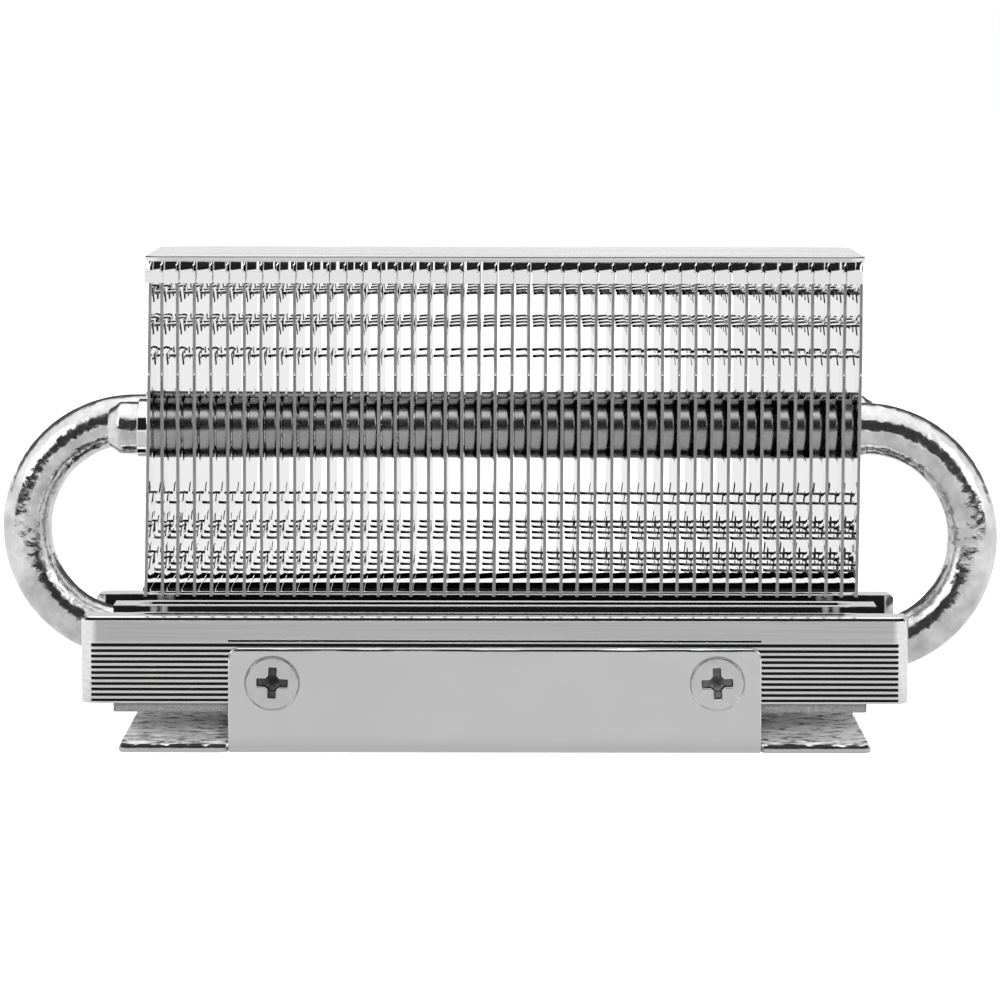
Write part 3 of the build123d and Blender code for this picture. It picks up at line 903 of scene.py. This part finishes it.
def base_metal():
    """Plated aluminium: bright on top and at the rounded corners, brushed along the side's upper land,
    and smoother on the ribs below it. The grooves, a line along the chamfer and the channels' walls
    carry painted shade, and two lands of the top a painted dark reflection; there the finish is dark
    and mirrors nothing, but for the channels' ends, which are left bright."""
    material, tree, main = shader("base_brushed_aluminium", 1.0, 0.3)
    brushed = noise(tree, (45, 2500, 3800), 5, 0.62)
    z, depth, aside = coordinate(tree, 2), coordinate(tree, 1, True), coordinate(tree, 0, True)
    at_side = ranged(tree, depth, 0.0108, 0.01085)
    on_top = product(tree, ranged(tree, z, 0.01284, 0.01287), ranged(tree, aside, 0.0345, 0.0330))
    in_channel = product(tree, between(tree, z, 0.0056, 0.01286), ranged(tree, depth, 0.0105, 0.0104))
    in_channel = product(tree, in_channel, ranged(tree, aside, 0.0383, 0.0381))
    # The channels' walls are left unpainted at their ends, where they show bright
    dull = reckoned(tree, "SUBTRACT", 1.0, between(tree, aside, 0.0317, 0.0327, 0.0004))
    # Painted shade in the grooves, the chamfer line and the channels' walls, and a painted dark reflection on
    # two lands of the top
    dark = (
        product(tree, groove_rows(tree, z, aside), at_side),
        product(tree, between(tree, z, 0.01252, 0.01279), at_side),
        product(tree, on_top, between(tree, depth, -1, 0.0011, 0.0001)),
        product(tree, on_top, between(tree, depth, 0.0083, 0.0096, 0.0001)),
        product(tree, in_channel, dull),
    )
    dark = reckoned(tree, "MAXIMUM", *dark)
    colour = add(tree, "ShaderNodeMix", data_type="RGBA")
    plain = tinted(tree, brushed, 0.80, 0.96)
    feed(tree, colour, {"Factor": dark, "A": plain, "B": (0.007, 0.007, 0.007, 1)})
    reach = 0.016
    heights = ((0.0102, 0.11), (0.0107, 0.29), (0.01255, 0.29), (0.01262, 0.0))
    brushing = shades(tree, ranged(tree, z, 0.0, reach), [(at / reach, level) for at, level in heights])
    brushing = product(tree, brushing, at_side, ranged(tree, aside, 0.0378, 0.0374))
    rough = ranged(tree, brushing, 0.0, 1.0, 0.05, 1.05)
    feed(tree, main, {
        "Metallic": ranged(tree, dark, 1.0, 0.0),
        "Specular IOR Level": ranged(tree, dark, 0.0, 1.0, 0.5, 0.0),
        "Base Color": colour.outputs["Result"],
        "Roughness": reckoned(tree, "ADD", rough, ranged(tree, z, 0.01272, 0.01280, 0.0, 0.12)),
        "Normal": relief(tree, brushed, 0.000008, ranged(tree, brushing, 0.0, 0.3, 0.02, 0.6)),
    })
    return material


def dress_base(base_aluminium):
    """The base block keeps its CAD shape, and gets brushed aluminium."""
    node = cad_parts["base_block"]
    node.data.materials.clear()
    node.data.materials.append(base_aluminium)


# Studio


def seen_as(tree, plain, in_metal, by_camera):
    """One shader for plain light, one for what metal mirrors, and one for the camera."""
    path = add(tree, "ShaderNodeLightPath").outputs
    mirrored = add(tree, "ShaderNodeMixShader", path["Is Glossy Ray"], plain, in_metal).outputs[0]
    return add(tree, "ShaderNodeMixShader", path["Is Camera Ray"], mirrored, by_camera).outputs[0]


def studio_world():
    """White for the camera. Metal sees a white room with a black card in front, round the camera, from
    the horizon to well above it, and a softer grey band behind; everything else gets even white light."""
    world = bpy.data.worlds.new("studio")
    bpy.context.scene.world = world
    world.use_nodes = True
    tree = world.node_tree
    tree.nodes.clear()
    place = add(tree, "ShaderNodeTexCoord").outputs["Generated"]
    x, y, z = add(tree, "ShaderNodeSeparateXYZ", place).outputs

    def smooth(value, low, high):
        return ranged(tree, value, low, high, interpolation_type="SMOOTHSTEP")

    card = product(tree, smooth(z, -0.16, -0.11), smooth(z, 0.71, 0.66), smooth(y, -0.36, -0.50), 0.985)
    behind = product(tree, smooth(z, 0.135, 0.16), smooth(z, 0.80, 0.66), smooth(y, 0.3, 0.6), 0.92)
    level = reckoned(tree, "SUBTRACT", 1.0, card, behind)
    level = reckoned(tree, "ADD", product(tree, smooth(z, 0.66, 0.95), 0.35), level)
    white = (1, 1, 1, 1)
    rooms = [add(tree, "ShaderNodeBackground", white, strength).outputs[0] for strength in (0.55, level, 1.0)]
    add(tree, "ShaderNodeOutputWorld", seen_as(tree, *rooms))


def studio_floor():
    """A wide white table. The camera sees it nearly as bright as the room, with a soft shadow.
    Metal sees it glowing light grey in front, lighter behind, with a painted shadow close to the
    object, and dark beyond its front edge."""
    half = 3.0
    mesh = bpy.data.meshes.new("floor")
    corners = [(-half, -half, 0), (half, -half, 0), (half, half, 0), (-half, half, 0)]
    mesh.from_pydata(corners, [], [(0, 1, 2, 3)])
    floor = in_scene("floor", mesh)
    floor.location.z = -0.00002
    material, tree, main = shader("floor_white", 0.0, 0.9)
    mesh.materials.append(material)
    feed(tree, main, {"Base Color": (0.8, 0.8, 0.8, 1), "Specular IOR Level": 0.0})
    glow = add(tree, "ShaderNodeEmission", Strength=0.84).outputs[0]
    shadowed = add(tree, "ShaderNodeAddShader", main.outputs[0], glow).outputs[0]
    y, aside = coordinate(tree, 1), coordinate(tree, 0, True)
    beyond = product(tree, ranged(tree, y, -0.40, -0.46), ranged(tree, aside, 0.7, 0.5))
    # Painted shadow, seen only in metal: darker just in front of the object, darkest where it stands
    near = product(tree, ranged(tree, y, -0.20, -0.13), ranged(tree, y, 0.04, -0.02))
    near = product(tree, near, ranged(tree, aside, 0.09, 0.06))
    painted_contact_shadow = product(tree, ranged(tree, y, -0.022, -0.0125), ranged(tree, y, 0.02, 0.0125))
    painted_contact_shadow = product(tree, painted_contact_shadow, ranged(tree, aside, 0.050, 0.042))
    near = product(tree, near, ranged(tree, painted_contact_shadow, 0.0, 1.0, 1.0, 1.7))
    lit = product(tree, ranged(tree, near, 0.0, 1.7, 0.88, 0.47), ranged(tree, beyond, 0.0, 1.0, 1.0, 0.02))
    in_metal = add(tree, "ShaderNodeEmission", Strength=lit).outputs[0]
    seen = seen_as(tree, main.outputs[0], in_metal, shadowed)
    tree.links.new(seen, tree.nodes["Material Output"].inputs["Surface"])


def softbox(name, place, size, energy, in_metal=True):
    """A square soft lamp that faces the object, and that metal mirrors only where it is said to."""
    lamp = bpy.data.lights.new(name, "AREA")
    lamp.shape, lamp.size, lamp.energy = "SQUARE", size, energy
    holder = in_scene(name, lamp)
    holder.location = place
    holder.rotation_euler = (Vector(place) - Vector((0, 0, 0.02))).to_track_quat("Z", "Y").to_euler()
    holder.visible_camera = False
    holder.visible_glossy = in_metal


def studio_camera():
    """The photograph's view: a long lens in front, a little above, level but for a tenth of a degree."""
    data = bpy.data.cameras.new("camera")
    data.sensor_width, data.lens = 36.0, 177.67
    data.clip_start, data.clip_end = 0.05, 20.0
    camera = in_scene("camera", data)
    place = Matrix.Translation((0.000467, -0.47234, 0.06714))
    pitch = Matrix.Rotation(math.radians(90 - 5.350), 4, "X")
    roll = Matrix.Rotation(math.radians(0.087), 4, "Z")
    camera.matrix_world = place @ pitch @ roll
    bpy.context.scene.camera = camera


# Each metal's darkest and lightest tone, smoothest and roughest sheen, its grain and the grain's height
fins([
    metal("fin_nickel", 0.86, 0.90, 0.015, 0.035, (300, 500, 60), 2e-7),
    metal("fin_sheared_edge", 0.46, 0.56, 0.40, 0.60, (3000, 3000, 400), 2e-5),
    # The lanced cut faces are painted dark, for the shade and dark reflection on them
    metal("fin_lanced_edge_painted_dark", 0.10, 0.22, 0.16, 0.30, (3000, 3000, 3000), 1e-5),
    # The drawn collars' darker tone is partly their duller metal and partly painted shade between the fins
    metal("fin_drawn_collar", 0.42, 0.56, 0.22, 0.32, (700, 1800, 1800), 1.2e-5),
    # Painted shade: near-black matt, on the fins' feet and collar ends
    matt("fin_painted_shade", 0.003, 0.02, 0.4, 0.6, 1500, 1e-5, 0.0, 420),
])
heat_pipes([hammered_nickel()])
top_cover([
    metal("cover_aluminium", 0.94, 0.98, 0.12, 0.22, (30, 1200, 1200), 4e-6),
    metal("cover_cut_edge", 0.84, 0.94, 0.20, 0.34, (60, 900, 900), 1e-5),
    # Painted dark line along the cover's top edge, for its dark reflection
    metal("cover_painted_dark_rounding", 0.03, 0.12, 0.30, 0.50, (900, 900, 900), 1e-5),
])
thermal_pads(matt("pad_grey_silicone", 0.085, 0.165, 0.6, 0.85, 5000, 5e-5, 0.3, 4500), creased_silicone())
clip([
    metal("clip_satin_steel", 0.84, 0.87, 0.17, 0.22, (120, 160, 160), 1e-6),
    metal("clip_polished_edge", 0.92, 0.95, 0.02, 0.05, (120, 160, 160), 5e-7),
    # The countersinks are painted darker as shade round the screws
    metal("clip_countersink_painted_shade", 0.36, 0.50, 0.22, 0.34, (900, 900, 900), 3e-6),
])
clip_screws([
    metal("screw_steel", 0.80, 0.85, 0.17, 0.26, (900, 900, 900), 3e-6),
    # The screws' recesses are painted dark as shade
    metal("screw_recess_painted_shade", 0.10, 0.26, 0.30, 0.50, (2500, 2500, 2500), 2e-5),
])
dress_base(base_metal())

studio_world()
studio_floor()
softbox("softbox_above", (0.0, -0.1, 0.8), 0.7, 3.0, False)
softbox("softbox_left", (-0.7, -0.5, 0.5), 0.5, 1.5)
softbox("softbox_right", (0.7, -0.4, 0.4), 0.5, 1.2)
softbox("softbox_low_front", (0.0, -0.7, 0.14), 0.24, 8.0, False)
studio_camera()

bpy.context.scene.view_settings.view_transform = "Standard"
